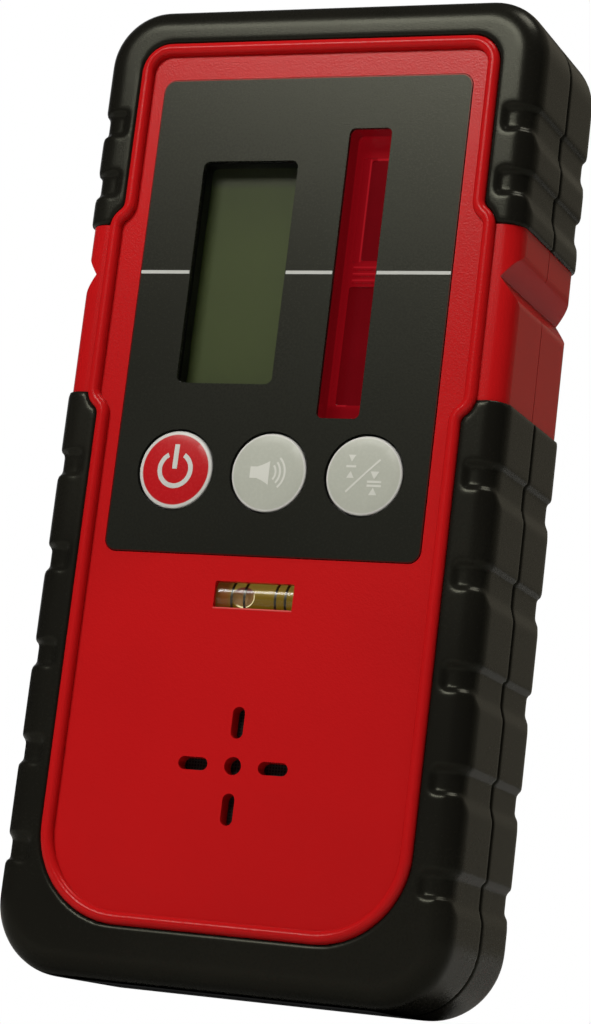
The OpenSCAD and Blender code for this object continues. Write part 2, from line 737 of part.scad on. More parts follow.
module threaded_insert() color(brass) on_rear() difference() {
  post(0, clamp_z, pad_top - insert_l, pad_top, insert_r);
  post(0, clamp_z, pad_top - clamp_bore_depth, pad_top + 1, clamp_bore_r);
}

front_shell();
rear_shell();
front_upper_armour();
front_lower_armour();
rear_upper_armour();
rear_lower_armour();
case_gasket();
case_screws();
front_label();
lcd_lens();
lcd_frame();
lcd_glass();
contact_strips();
sensor_window();
sensor_holder();
photodiodes();
main_board();
board_chips();
board_screws();
key_switches();
power_key();
volume_key();
precision_key();
power_plunger();
volume_plunger();
precision_plunger();
vial_tube();
vial_liquid();
vial_plugs();
vial_cradle();
buzzer();
speaker_mesh();
battery_tray();
battery_cells();
battery_contacts();
battery_door();
threaded_insert();
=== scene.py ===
# %% [markdown]
# # A hand-held laser receiver, dressed over its solids
#
# The receiver is a red case in black rubber armour, with a dark label, a small display, a
# red sensor window, three keys and a tiny spirit level. The solids come in ready measured.
# This lesson gives each of them its finish and adds what solids leave out: printed signs,
# soft rubber edges, the label's lens, the bubble of the level and a thread.

# %% Load the solids
import math

import bpy
from mathutils import Matrix, Vector


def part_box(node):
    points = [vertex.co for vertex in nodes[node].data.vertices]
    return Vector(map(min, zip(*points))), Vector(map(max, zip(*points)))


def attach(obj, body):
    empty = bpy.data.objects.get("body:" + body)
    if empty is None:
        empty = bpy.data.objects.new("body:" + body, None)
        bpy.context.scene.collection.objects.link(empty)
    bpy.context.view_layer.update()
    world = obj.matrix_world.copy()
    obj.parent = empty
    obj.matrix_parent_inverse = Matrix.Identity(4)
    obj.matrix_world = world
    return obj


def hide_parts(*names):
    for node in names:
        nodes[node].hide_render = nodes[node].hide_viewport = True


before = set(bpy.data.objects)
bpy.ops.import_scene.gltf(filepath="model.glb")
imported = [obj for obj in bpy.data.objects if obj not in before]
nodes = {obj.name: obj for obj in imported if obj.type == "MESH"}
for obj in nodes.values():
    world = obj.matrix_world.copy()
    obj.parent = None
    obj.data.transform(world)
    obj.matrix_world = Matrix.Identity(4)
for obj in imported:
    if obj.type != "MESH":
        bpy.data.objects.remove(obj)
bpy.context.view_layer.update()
bpy.ops.object.select_all(action="DESELECT")

# %% [markdown]
# ## Camera
#
# The picture was taken from the right and from a little below the face, so upright lines
# lean. A camera can be aimed by hand, but here its axes were worked out from the case's
# own corners, and the three columns of its matrix are simply written down.

# %% Camera
MM = 0.001
PICTURE = (591, 1024)
EYE = Vector((189.93, -438.6, -12.0)) * MM
RIGHT = Vector((0.91925, 0.37568, 0.11764))
UP = Vector((-0.03385, -0.22228, 0.97439))
BACK = RIGHT.cross(UP)
FOCAL_PIXELS = 2953.32
MIDDLE_PIXEL = (294.56, 501.77)

camera_data = bpy.data.cameras.new("camera")
camera_data.sensor_width = 36
camera_data.lens = FOCAL_PIXELS * camera_data.sensor_width / PICTURE[1]
camera_data.shift_x = (PICTURE[0] / 2 - MIDDLE_PIXEL[0]) / PICTURE[1]
camera_data.shift_y = (MIDDLE_PIXEL[1] - PICTURE[1] / 2) / PICTURE[1]
camera_data.clip_start = 0.01
camera = bpy.data.objects.new("camera", camera_data)
camera.matrix_world = Matrix((RIGHT, UP, BACK)).transposed().to_4x4()
camera.matrix_world.translation = EYE
bpy.context.scene.collection.objects.link(camera)
bpy.context.scene.camera = camera
print("camera lens", round(camera_data.lens, 2), "shift", round(camera_data.shift_y, 4))

# %% [markdown]
# ## Shader arithmetic
#
# A finish is a web of nodes. Wiring each one by hand hides the idea behind it, so a small
# class holds one socket and turns plus, minus and times into Math nodes. Every other kind of
# node comes from its one method, `node`.

# %% Shader arithmetic
class Wire:
    """One output socket of a material, ready for arithmetic."""

    def __init__(self, tree, socket=None):
        self.tree = tree
        self.socket = socket

    def node(self, kind, settings=None, inputs=None, out=0):
        """Adds a node, makes its settings, then fills its sockets; gives one output."""
        made = self.tree.nodes.new("ShaderNode" + kind)
        for name, value in (settings or {}).items():
            setattr(made, name, value)
        for name, value in (inputs or {}).items():
            if isinstance(value, Wire):
                self.tree.links.new(value.socket, made.inputs[name])
            else:
                made.inputs[name].default_value = value
        return Wire(self.tree, made.outputs[out])

    def maths(self, operation, first, second=0.0):
        return self.node("Math", {"operation": operation}, {0: first, 1: second})

    def __add__(self, other):
        return self.maths("ADD", self, other)

    def __radd__(self, other):
        return self.maths("ADD", other, self)

    def __sub__(self, other):
        return self.maths("SUBTRACT", self, other)

    def __rsub__(self, other):
        return self.maths("SUBTRACT", other, self)

    def __mul__(self, other):
        return self.maths("MULTIPLY", self, other)

    def __rmul__(self, other):
        return self.maths("MULTIPLY", other, self)

    def clamp(self, low, high, to_low=0.0, to_high=1.0):
        """A smooth step from to_low at low to to_high at high."""
        ends = {"From Min": low, "From Max": high, "To Min": to_low, "To Max": to_high}
        return self.node(
            "MapRange", {"interpolation_type": "SMOOTHSTEP"}, {"Value": self, **ends}
        )

    def blend(self, first, second):
        """A colour between first and second, by this mask."""
        first, second = (c if isinstance(c, Wire) else (*c, 1) for c in (first, second))
        return self.node("Mix", {"data_type": "RGBA"}, {0: self, 6: first, 7: second}, out=2)

    def axis(self, name):
        """One coordinate of a place: X, Y or Z."""
        return self.node("SeparateXYZ", None, {0: self}, out=name)

    def away(self, other):
        """How far off a point is, from its two distances at right angles."""
        return self.maths("SQRT", self * self + other * other)


print("shader arithmetic ready")

# %% [markdown]
# ## How a finish is started
#
# Every finish here is one Principled shader. `finish` makes it with its constant values set
# on its own sockets, and hands back the shader and a wire that carries the position on the
# piece in metres, so that every grain has its real size.

# %% Starting a finish
NOISE_CELL = 0.6


def finish(name, **constants):
    """A new material: (material, its shader, a wire with the place on the piece)."""
    material = bpy.data.materials.new(name + "_finish")
    material.use_nodes = True
    shader = material.node_tree.nodes["Principled BSDF"]
    for key, value in constants.items():
        socket = shader.inputs[key.replace("_", " ").title().replace("Ior", "IOR")]
        socket.default_value = (*value, 1) if isinstance(value, tuple) else value
    place = Wire(material.node_tree).node("TexCoord", out="Object")
    return material, shader, place


def feed(shader, **wires):
    """Links wires to a shader's sockets."""
    for key, wire in wires.items():
        wire.tree.links.new(wire.socket, shader.inputs[key.replace("_", " ").title()])


def grain(place, size, detail=2.0):
    """Noise whose grains are about size metres across."""
    inputs = {"Vector": place, "Scale": NOISE_CELL / size, "Detail": detail}
    return place.node("TexNoise", None, inputs)


def bump(height, strength, depth):
    """A normal from a height wire; depth is the height's size in metres."""
    inputs = {"Strength": strength, "Distance": depth, "Height": height}
    return height.node("Bump", None, inputs)


print("finishes can start")

# %% [markdown]
# ## Red case
#
# The case is moulded in red plastic with a fine spark-eroded grain: small round pits side by
# side, which sparkle at a slant. A cell pattern makes the pits, a noise varies the gloss, and
# a slow noise makes the red a little uneven, as moulded colour is.

# %% Red case
def grained(name, colour, shade, size, relief, gloss, slow_size=30 * MM, **constants):
    """Satin plastic with a spark-eroded grain: size across, relief deep."""
    material, shader, place = finish(name, **constants)
    slow = grain(place, slow_size)
    fine = grain(place, size, 3.0)
    pits = place.node("TexVoronoi", {"feature": "F1"}, {"Vector": place, "Scale": 1 / size})
    feed(
        shader,
        Base_Color=slow.clamp(0.35, 0.65).blend(colour, shade),
        Roughness=gloss + 0.06 * fine + 0.06 * slow,
        Normal=bump(pits + 0.4 * fine, 1.0, relief),
    )
    return material


FINISHES = {
    "red_case": grained(
        "red_case", (0.50, 0.0080, 0.0095), (0.46, 0.0070, 0.0085),
        size=0.30 * MM, relief=0.012 * MM, gloss=0.17, Specular_Ior_Level=0.10,
    )
}
print("red case", len(FINISHES["red_case"].node_tree.nodes), "nodes")

# %% [markdown]
# ## Painted shade round the keys
#
# Close round the keys the gap between cap and case is in shade, so the case's red is painted
# near black there. Such a painted shade is one more layer over a finish that is already wired:
# the finish's own colour goes in, and a mask by the place on the piece says where the new colour
# covers it.

# %% Painted shade round the keys
KEY_Z = sum(c.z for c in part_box("power_key")) / 2
KEY_X = {k: sum(c.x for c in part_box(k + "_key")) / 2 for k in ("power", "volume", "precision")}
BORE_R = 7.2 * MM
FRONT_Y = -12 * MM


def overlay(material, make_mask, colour):
    """Lays a colour over a finish's own colour, where make_mask(x, y, z) is 1."""
    shader = material.node_tree.nodes["Principled BSDF"]
    own = Wire(material.node_tree, shader.inputs["Base Color"].links[0].from_socket)
    place = own.node("TexCoord", out="Object")
    mask = make_mask(*(place.axis(name) for name in "XYZ"))
    feed(shader, Base_Color=mask.blend(own, colour))


def painted_bore_shade(x, y, z):
    """1 in the front of the case close round a key, where shade is painted."""
    distances = [(x - middle).away(z - KEY_Z) for middle in KEY_X.values()]
    near = sum(1 - distance.clamp(BORE_R - 0.1 * MM, BORE_R) for distance in distances)
    return near * (1 - y.clamp(FRONT_Y, FRONT_Y + 1 * MM))


# painted shade: near black laid over the red in the key bores
overlay(FINISHES["red_case"], painted_bore_shade, (0.008, 0.004, 0.004))
print("keys at", {k: round(x / MM, 2) for k, x in KEY_X.items()}, "mm")

# %% [markdown]
# ## Rubber armour and label
#
# The armour is black elastomer with a warm cast and a softer grain, slightly polished in
# patches by handling. The label is a dark printed film with a similar satin gloss.

# %% Rubber armour and label
WARM_GLOSS = (0.98, 1.0, 0.82)
FINISHES["armour"] = grained(
    "armour", (0.0078, 0.0074, 0.0060), (0.0096, 0.0092, 0.0074),
    size=0.28 * MM, relief=0.006 * MM, gloss=0.21, slow_size=18 * MM,
    Specular_Ior_Level=0.12, Specular_Tint=WARM_GLOSS,
)
FINISHES["seal"] = grained(
    "seal", (0.010, 0.010, 0.010), (0.016, 0.016, 0.016),
    size=0.3 * MM, relief=0.02 * MM, gloss=0.3,
)
FINISHES["label"] = grained(
    "label", (0.0100, 0.0104, 0.0086), (0.0112, 0.0116, 0.0098),
    size=0.24 * MM, relief=0.006 * MM, gloss=0.21, slow_size=25 * MM,
    Specular_Ior_Level=0.13, Specular_Tint=WARM_GLOSS,
)
print("rubber", len(FINISHES["armour"].node_tree.nodes), "nodes")

# %% [markdown]
# ## Rim of the label
#
# The printed film ends just short of the clear lens that is cast over it, so the red of the case
# shows in the lens's rim. That red is painted dark all round as shade, and painted brighter
# along the upper end as the light that reaches it there. The mask is the distance from the
# outline of a rectangle with round corners.

# %% Rim of the label
label_low, label_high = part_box("front_label")
LABEL_CORNER = 2.0 * MM


def lens_rim_painted_shade(x, y, z):
    """1 along the label's outline, where the red is painted dark as shade."""
    middle = (label_low + label_high) / 2
    inner = (label_high - label_low) / 2 - Vector((LABEL_CORNER,) * 3)
    past_x = x.maths("MAXIMUM", x.maths("ABSOLUTE", x - middle.x) - inner.x)
    past_z = z.maths("MAXIMUM", z.maths("ABSOLUTE", z - middle.z) - inner.z)
    return past_x.away(past_z).clamp(LABEL_CORNER - 0.26 * MM, LABEL_CORNER - 0.12 * MM)


def lens_top_painted_light(x, y, z):
    """1 along the upper end of that outline, where painted light brightens the red."""
    return lens_rim_painted_shade(x, y, z) * z.clamp(label_high.z - 3 * MM, label_high.z - 1 * MM)


# painted shade: the rim's red darkened all round
overlay(FINISHES["label"], lens_rim_painted_shade, (0.055, 0.0012, 0.0016))
# painted light: the rim's upper end brightened as if lit from above
overlay(FINISHES["label"], lens_top_painted_light, (0.22, 0.009, 0.010))
print("label", [round(v / MM, 2) for v in label_high - label_low], "mm")

# %% [markdown]
# ## Other plastics and metals
#
# Smaller pieces share one recipe: a colour and a slightly different shade of it, a gloss and
# a grain of the right size. Metals add a metallic value.

# %% Other plastics and metals
def plain(name, colour, shade, gloss, size, **constants):
    """A colour, a shade of it, a gloss and a grain of this size."""
    material, shader, place = finish(name, **constants)
    slow = grain(place, 20 * size, 1.0)
    fine = grain(place, size)
    feed(
        shader,
        Base_Color=slow.clamp(0.35, 0.65).blend(colour, shade),
        Roughness=gloss + 0.1 * fine,
        Normal=bump(fine, 0.3, 0.02 * MM),
    )
    return material


PLASTICS = {
    "black_plastic": ((0.006, 0.006, 0.006), (0.009, 0.009, 0.009), 0.4, 0.4 * MM),
    "white_plastic": ((0.6, 0.6, 0.56), (0.55, 0.55, 0.52), 0.4, 0.4 * MM),
    "chip": ((0.012, 0.012, 0.013), (0.02, 0.02, 0.02), 0.5, 0.2 * MM),
    "board": ((0.01, 0.09, 0.035), (0.015, 0.12, 0.045), 0.35, 0.3 * MM),
}
METALS = {
    "screw_steel": ((0.55, 0.55, 0.57), (0.45, 0.45, 0.47), 0.25, 0.3 * MM),
    "insert_brass": ((0.75, 0.52, 0.2), (0.65, 0.45, 0.18), 0.25, 0.3 * MM),
}
for name, recipe in PLASTICS.items():
    FINISHES[name] = plain(name, *recipe)
for name, recipe in METALS.items():
    FINISHES[name] = plain(name, *recipe, Metallic=1.0)
print("finishes so far", len(FINISHES))

# %% [markdown]
# ## Display
#
# The display is switched off: a grey-green field, with a painted shadow along its upper edge and
# painted shade that darkens the green a little towards that edge, where the frame stands high
# above it. Both are masks by the distance below the upper edge of the window.

# %% Display
WINDOW_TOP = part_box("lcd_lens")[1].z - 0.6 * MM
GREEN, PAINTED_SHADE, PAINTED_SHADOW = (0.043, 0.056, 0.0180), (0.033, 0.043, 0.014), (0.026, 0.029, 0.017)
display, shader, place = finish("display", Specular_Ior_Level=0.15)
sunk = WINDOW_TOP - place.axis("Z")
# painted shade: the green darkens towards the window's upper edge
green_with_painted_shade = sunk.clamp(3.0 * MM, 16.0 * MM).blend(PAINTED_SHADE, GREEN)
fine = grain(place, 0.3 * MM)
# painted shadow: a dark band just below the window's upper edge
feed(
    shader,
    Base_Color=sunk.clamp(2.5 * MM, 3.9 * MM).blend(PAINTED_SHADOW, green_with_painted_shade),
    Roughness=0.40 + 0.1 * fine,
    Normal=bump(fine, 0.3, 0.0005 * MM),
)
FINISHES["display"] = display
print("display window top at", round(WINDOW_TOP / MM, 2), "mm")

# %% [markdown]
# ## Clear pieces
#
# The display's cover and the vial's tube are thin and clear: light goes almost straight
# through, and a few hundredths of it are mirrored, more at a slant. That is a mix of a
# transparent shader and a mirror, shared out by how far the surface turns away from the eye,
# and unlike a refracting glass it lets the lamps reach what lies behind it. The tube is full
# of liquid, so only its outside mirrors.

# %% Clear pieces
def see_through(material, shader, solid, tint=(1.0, 1.0, 1.0)):
    """Mixes a transparent shader into a finish, which stays whole where solid is 1."""
    clear_part = solid.node("BsdfTransparent", None, {"Color": (*tint, 1)})
    own_part = Wire(material.node_tree, shader.outputs[0])
    both = solid.node("MixShader", None, {0: solid, 1: clear_part, 2: own_part})
    surface = material.node_tree.nodes["Material Output"].inputs["Surface"]
    material.node_tree.links.new(both.socket, surface)


def clear(name, tint, gloss, haze, filled=False):
    """A clear finish that mirrors the share gloss, softened by haze."""
    material, shader, place = finish(name, Base_Color=(1.0, 1.0, 1.0), Metallic=1.0)
    feed(shader, Roughness=haze + 0.03 * grain(place, 4 * MM))
    slant = place.node("LayerWeight", None, {"Blend": 0.5}, out="Facing")
    mirrored = gloss + 0.7 * place.maths("POWER", slant, 5.0)
    if filled:
        mirrored = mirrored * (1 - place.node("NewGeometry", out="Backfacing"))
    see_through(material, shader, mirrored, tint)
    return material


FINISHES["clear_lens"] = clear("clear_lens", (0.97, 0.98, 0.95), 0.004, 0.03)
FINISHES["vial_clear"] = clear("vial_clear", (0.98, 0.97, 0.92), 0.021, 0.12, filled=True)
print("clear pieces ready")

# %% [markdown]
# ## Vial liquid
#
# The liquid is yellow green and cloudy. A little emission makes it glow where no light falls on
# it, a painted light that is strongest in its upper part, which is also painted lighter. The
# left end is painted redder as a reflection of the red case. The air bubble is painted greyer,
# with a redder upper part as the same painted reflection, and the bubble's lower right rim
# carries a painted highlight, a bright crescent. Masks by the distance from the bubble's middle
# and along the tube share out the colours.

# %% Vial liquid
VIAL_Y, VIAL_Z = (sum(c[i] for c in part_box("vial_tube")) / 2 for i in (1, 2))
BUBBLE = Vector((-2.4 * MM, VIAL_Y - 3.8 * MM, VIAL_Z))
BUBBLE_R = 2.3 * MM
SQUAT = 1.15
LOW_GREEN, LOW_SHADE = (0.106, 0.068, 0.005), (0.098, 0.062, 0.004)
PAINTED_LIT_GREEN, PAINTED_RED_REFLECTION = (0.225, 0.165, 0.030), (0.108, 0.036, 0.008)
AIR, AIR_TOP_PAINTED_RED = (0.150, 0.086, 0.036), (0.120, 0.034, 0.026)
PAINTED_GLINT, PAINTED_GLOW = (0.60, 0.58, 0.40), (0.80, 0.76, 0.50)

# painted light: emission makes the whole liquid glow, brightest in its upper part
spirit, shader, place = finish(
    "vial_liquid", Roughness=0.5, Specular_Ior_Level=0.1, Emission_Strength=0.55
)
across = place.axis("X") - BUBBLE.x
up = SQUAT * (place.axis("Z") - BUBBLE.z)
rim = across.away(up)
bubble = 1 - rim.clamp(1.85 * MM, 2.05 * MM)
# painted highlight: a bright crescent on the bubble's lower right rim
crescent = rim.clamp(1.62 * MM, 1.74 * MM) * (1 - rim.clamp(1.92 * MM, 2.04 * MM))
crescent = crescent * (0.75 * across - up).clamp(0.3 * MM, 1.1 * MM)
# painted reflection: the left end is reddened as if mirroring the red case
left_end = 1 - across.clamp(-3.2 * MM, -1.4 * MM)
cloudy = grain(place, 3 * MM).clamp(0.3, 0.7).blend(LOW_GREEN, LOW_SHADE)
# painted light: the upper part of the liquid is made lighter
green = up.clamp(0.1 * MM, 1.5 * MM).blend(cloudy, PAINTED_LIT_GREEN)
air = up.clamp(0.5 * MM, 1.2 * MM).blend(AIR, AIR_TOP_PAINTED_RED)
tinted = bubble.blend(left_end.blend(green, PAINTED_RED_REFLECTION), air)
feed(
    shader,
    Base_Color=crescent.blend(tinted, PAINTED_GLINT),
    Emission_Color=crescent.blend(tinted, PAINTED_GLOW),
    Normal=bump(grain(place, 1.5 * MM), 0.2, 0.004 * MM),
)
FINISHES["vial_liquid"] = spirit
print("vial axis", round(VIAL_Y / MM, 2), round(VIAL_Z / MM, 2))

# %% [markdown]
# ## Sensor window
#
# The sensor's tub is clear red acrylic. Emission paints a faint glow on it, as if light ran
# inside it and left at its edges, so its walls stay bright even in their own shadow. Its raised
# ledges are a lighter red than the flat fields between them and glow more, and the edges of the
# steps and ribs carry the brightest painted highlights. The height above the fields is one mask,
# and narrow bands along the edges are the other. Each band is a range across the window and a
# range up it, in millimetres from its middle.

# %% Sensor window
FIELD_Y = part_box("sensor_holder")[0].y - 0.8 * MM
SENSOR_X, SENSOR_Z = (sum(c[i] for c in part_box("sensor_window")) / 2 for i in (0, 2))
BAND_SOFT = 0.1
UPPER_STEP = ((-1.60, -1.32), (3.2, 20.8))
TOP_EDGE = ((-0.4, 3.2), (20.55, 20.95))
FOOT_EDGE = ((-2.5, -0.8), (-21.2, -20.85))
RIBS = [((-2.2, 3.2), (1.1 * i - 0.12, 1.1 * i + 0.12)) for i in range(3)]


def band(value, low, high):
    """1 where a value lies between low and high, in millimetres, with soft ends."""
    rise = value.clamp((low - BAND_SOFT) * MM, (low + BAND_SOFT) * MM)
    return rise * (1 - value.clamp((high - BAND_SOFT) * MM, (high + BAND_SOFT) * MM))


acrylic, shader, place = finish(
    "sensor_red", Roughness=0.06, Specular_Ior_Level=0.2, Emission_Strength=1.0
)
across = place.axis("X") - SENSOR_X
raised = FIELD_Y - place.axis("Y")
up = place.axis("Z") - SENSOR_Z
ledge = raised.clamp(0.06 * MM, 0.24 * MM) * (1 - raised.clamp(0.8 * MM, 1.6 * MM))
# the ledge is half as light at the foot of the window
ledge = ledge * up.clamp(-22.0 * MM, -20.8 * MM, 0.5, 1.0)
# painted highlights: bright bands along the edges of the steps and ribs
bands = (UPPER_STEP, TOP_EDGE, FOOT_EDGE, *RIBS)
edges = sum(band(across, *wide) * band(up, *tall) for wide, tall in bands)
edges = 0.55 * edges * (1 - raised.clamp(0.8 * MM, 1.0 * MM))
uneven = grain(place, 6 * MM).clamp(0.3, 0.7)
fields = uneven.blend((0.07, 0.0012, 0.003), (0.05, 0.0010, 0.002))
# painted glow: emission brightens walls and ledges though no lamp reaches them
glow = ledge.blend((0.072, 0.0008, 0.002), (0.13, 0.0014, 0.0034))
feed(
    shader,
    Base_Color=ledge.blend(fields, (0.12, 0.002, 0.004)),
    Emission_Color=edges.blend(glow, (0.34, 0.010, 0.016)),
    Normal=bump(grain(place, 0.8 * MM), 0.3, 0.004 * MM),
)
FINISHES["sensor_red"] = acrylic
print("sensor fields at", round(FIELD_Y / MM, 2), "mm")

# %% [markdown]
# ## Speaker gauze and cells
#
# Behind the sound slots lies a woven gauze: two crossed waves make its wires and its holes.
# The cells wear a printed sleeve, dark with a copper-coloured band at one end.

# %% Speaker gauze and cells
WIRE_PITCH = 0.5 * MM
gauze, shader, place = finish("mesh", Metallic=0.6)
wires = [place.maths("SINE", place.axis(name) * (2 * math.pi / WIRE_PITCH)) for name in "XZ"]
weave = place.maths("MAXIMUM", *wires).clamp(0.0, 0.8)
feed(
    shader,
    Base_Color=weave.blend((0.003, 0.003, 0.003), (0.018, 0.018, 0.017)),
    Roughness=0.8 - 0.35 * weave,
    Normal=bump(weave, 0.8, 0.08 * MM),
)
FINISHES["mesh"] = gauze

COPPER_Z = 55.0 * MM
sleeve, shader, place = finish("cell", Metallic=0.35)
copper = place.axis("Z").clamp(COPPER_Z, COPPER_Z + 0.3 * MM)
scuff = grain(place, 3 * MM, 3.0)
feed(
    shader,
    Base_Color=copper.blend((0.012, 0.012, 0.014), (0.42, 0.20, 0.06)),
    Roughness=0.22 + 0.2 * scuff,
    Normal=bump(scuff, 0.2, 0.02 * MM),
)
FINISHES["cell"] = sleeve
print("gauze and sleeve ready")

# %% [markdown]
# ## Key caps
#
# A cap is moulded in pale translucent plastic and printed on its face almost to the edge, so
# a thin pale ring is left. The ring is a mask: the distance from the cap's own axis.

# %% Key caps
RED_PRINT, GREY_PRINT = (0.46, 0.009, 0.013), (0.432, 0.449, 0.404)
RED_EDGE, GREY_EDGE = 5.85 * MM, 6.1 * MM
PALE = (0.58, 0.58, 0.57)


def key_cap(name, printed, edge, middle):
    """Plastic printed as far as edge from the cap's axis, and pale beyond it."""
    material, shader, place = finish(name, Specular_Ior_Level=0.15)
    radius = (place.axis("X") - middle).away(place.axis("Z") - KEY_Z)
    ring = radius.clamp(edge - 0.1 * MM, edge + 0.1 * MM)
    fine = grain(place, 0.3 * MM)
    feed(
        shader,
        Base_Color=ring.blend(printed, PALE),
        Roughness=0.22 + 0.1 * fine,
        Normal=bump(fine, 0.5, 0.006 * MM),
    )
    return material


FINISHES["red_key"] = key_cap("red_key", RED_PRINT, RED_EDGE, KEY_X["power"])
FINISHES["grey_key"] = key_cap("grey_key", GREY_PRINT, GREY_EDGE, KEY_X["volume"])
print("finishes", sorted(FINISHES))

# %% [markdown]
# ## Dressing the solids
#
# Each solid already knows the slot its finish belongs to. Its material slots get the finish
# of that name; the mesh itself isn't touched. The two grey keys share a slot, but a ring is
# drawn round one key's axis, so the second key gets a finish of its own.

# %% Dressing the solids
for solid in nodes.values():
    for holder in solid.material_slots:
        holder.material = FINISHES[holder.material.name]
nodes["precision_key"].material_slots[0].material = key_cap(
    "precision_key", GREY_PRINT, GREY_EDGE, KEY_X["precision"]
)
print("dressed", len(nodes), "solids in", len(FINISHES), "finishes")

# %% [markdown]
# ## Tools for selecting
#
# An operator works on whatever is selected, so each step first selects one piece alone, and
# in edit mode either all of it or the points at a certain place.

# %% Tools for selecting
HAIR = 0.01 * MM


def only(piece):
    """Selects one piece and makes it the active one."""
    bpy.ops.object.select_all(action="DESELECT")
    piece.select_set(True)
    bpy.context.view_layer.objects.active = piece


def edit_all(piece):
    """Opens a piece in edit mode with everything selected."""
    only(piece)
    bpy.ops.object.mode_set(mode="EDIT")
    bpy.ops.mesh.select_all(action="SELECT")


def edit_at(piece, wanted):
    """Opens a piece in edit mode with only the points selected whose place is wanted."""
    only(piece)
    chosen = [wanted(vertex.co) for vertex in piece.data.vertices]
    for vertex in piece.data.vertices:
        vertex.select = chosen[vertex.index]
    for side in (*piece.data.edges, *piece.data.polygons):
        side.select = all(chosen[i] for i in side.vertices)
    bpy.ops.object.mode_set(mode="EDIT")


def done():
    bpy.ops.object.mode_set(mode="OBJECT")


print("selecting ready")

# %% [markdown]
# ## Tools for finishing
#
# A new primitive gets its name, and its place goes into its mesh. Modifiers are applied at
# once. A finished piece gets its finish, the body it moves with, and the solid it stands for.

# %% Tools for finishing
def new_piece(name):
    """Names the primitive just added and moves its place, turn and scale into its mesh."""
    piece = bpy.context.object
    piece.name = name
    bpy.ops.object.transform_apply(location=True, rotation=True, scale=True)
    return piece


def modify(piece, kind, **settings):
    """Adds a modifier with these settings and applies it."""
    only(piece)
    modifier = piece.modifiers.new(kind.lower(), kind)
    for name, value in settings.items():
        setattr(modifier, name, value)
    bpy.ops.object.modifier_apply(modifier=modifier.name)


def round_edges(piece, width, segments):
    """Bevels the edges where a piece turns by more than 60 degrees."""
    sharp = {"limit_method": "ANGLE", "angle_limit": math.radians(60)}
    modify(piece, "BEVEL", width=width, segments=segments, **sharp)


def smooth(piece, degrees):
    """Shades a piece smooth, except where it turns by more than this."""
    only(piece)
    bpy.ops.object.shade_smooth_by_angle(angle=math.radians(degrees))


def join(pieces):
    """Joins pieces into the first of them."""
    only(pieces[0])
    for piece in pieces[1:]:
        piece.select_set(True)
    if len(pieces) > 1:
        bpy.ops.object.join()
    return pieces[0]


def settle(piece, material, body="case", stands_for=()):
    """Finish, slot, body and the solids that the piece replaces."""
    piece.data.materials.clear()
    piece.data.materials.append(material)
    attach(piece, body)
    if stands_for:
        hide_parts(*stands_for)
    print(piece.name, len(piece.data.polygons), "faces on", body)


# %% [markdown]
# ## Soft rubber edges
#
# Rubber never has a knife edge: the grips have rounded steps, and light runs along them. A
# bevel would have to find its way round every notch, so the solid is skinned again with
# small even squares and the skin is then relaxed, which rounds every edge alike. Where the
# rubber is moulded against the case or the other half, its edge stays crisp: a weight by the
# distance from that neighbour holds the skin there.

# %% Soft rubber edges
SKIN = 0.4 * MM


def solid_copy(node, name):
    """A new piece with its own merged copy of a solid's mesh."""
    piece = bpy.data.objects.new(name, nodes[node].data.copy())
    bpy.context.scene.collection.objects.link(piece)
    edit_all(piece)
    bpy.ops.mesh.remove_doubles(threshold=0.001 * MM)
    bpy.ops.mesh.customdata_custom_splitnormals_clear()
    done()
    return piece


for half, other in (("front", "rear"), ("rear", "front")):
    for level in ("upper", "lower"):
        node = f"{half}_{level}_armour"
        grip = solid_copy(node, node + "_soft")
        modify(grip, "REMESH", mode="VOXEL", voxel_size=SKIN)
        modify(grip, "SMOOTH", factor=0.5, iterations=1)
        free = grip.vertex_groups.new(name="free")
        free.add(range(len(grip.data.vertices)), 1.0, "REPLACE")
        for neighbour in (f"{half}_shell", f"{other}_{level}_armour"):
            modify(
                grip, "VERTEX_WEIGHT_PROXIMITY", vertex_group="free", target=nodes[neighbour],
                proximity_mode="GEOMETRY", proximity_geometry={"FACE"},
                min_dist=SKIN, max_dist=3 * SKIN,
            )
            modify(grip, "SMOOTH", factor=0.5, iterations=2, vertex_group="free")
        only(grip)
        bpy.ops.object.shade_smooth()
        settle(grip, FINISHES["armour"], "case", (node,))

# %% [markdown]
# ## Smooth key caps
#
# A cap's dome is so flat that the small triangles of the solid would show in its gloss. Its
# points are merged into one skin, which is then shaded smooth except at the cap's own edge.
# The stem behind the cap is drawn in towards its end, as a moulded stem is, so that it stays
# clear of the switch's bore when the key is pressed.

# %% Smooth key caps
STEM_DRAFT = 0.86
caps = {}
for key in KEY_X:
    node = key + "_key"
    cap = solid_copy(node, key + "_cap")
    edit_all(cap)
    bpy.ops.mesh.dissolve_degenerate(threshold=0.002 * MM)
    done()
    stem_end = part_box(node)[1].y
    edit_at(cap, lambda spot: spot.y > stem_end - HAIR)
    bpy.ops.transform.resize(
        value=(STEM_DRAFT, 1, STEM_DRAFT), center_override=(KEY_X[key], stem_end, KEY_Z)
    )
    done()
    smooth(cap, 40)
    printed = nodes[node].material_slots[0].material
    settle(cap, printed, key + "_button", (node,))
    caps[key] = cap

# %% [markdown]
# ## Signs on the keys
#
# The power sign, the loudspeaker and the coarse and fine marks are pad-printed on domed
# caps. Each is drawn flat from a few strokes, then wrapped onto its cap and given the
# thickness of a coat of ink. A curved stroke is a short edge spun round a point.

# %% Strokes for signs
FACE_TURN = math.pi / 2


def flat(name, centre, size, turn=0.0):
    """A flat stroke facing the front, turned clockwise by an angle."""
    bpy.ops.mesh.primitive_plane_add(size=1, location=centre, rotation=(FACE_TURN, turn, 0))
    bpy.context.object.scale = (size[0], size[1], 1)
    piece = new_piece(name)
    edit_all(piece)
    bpy.ops.mesh.subdivide(number_cuts=5)
    done()
    return piece


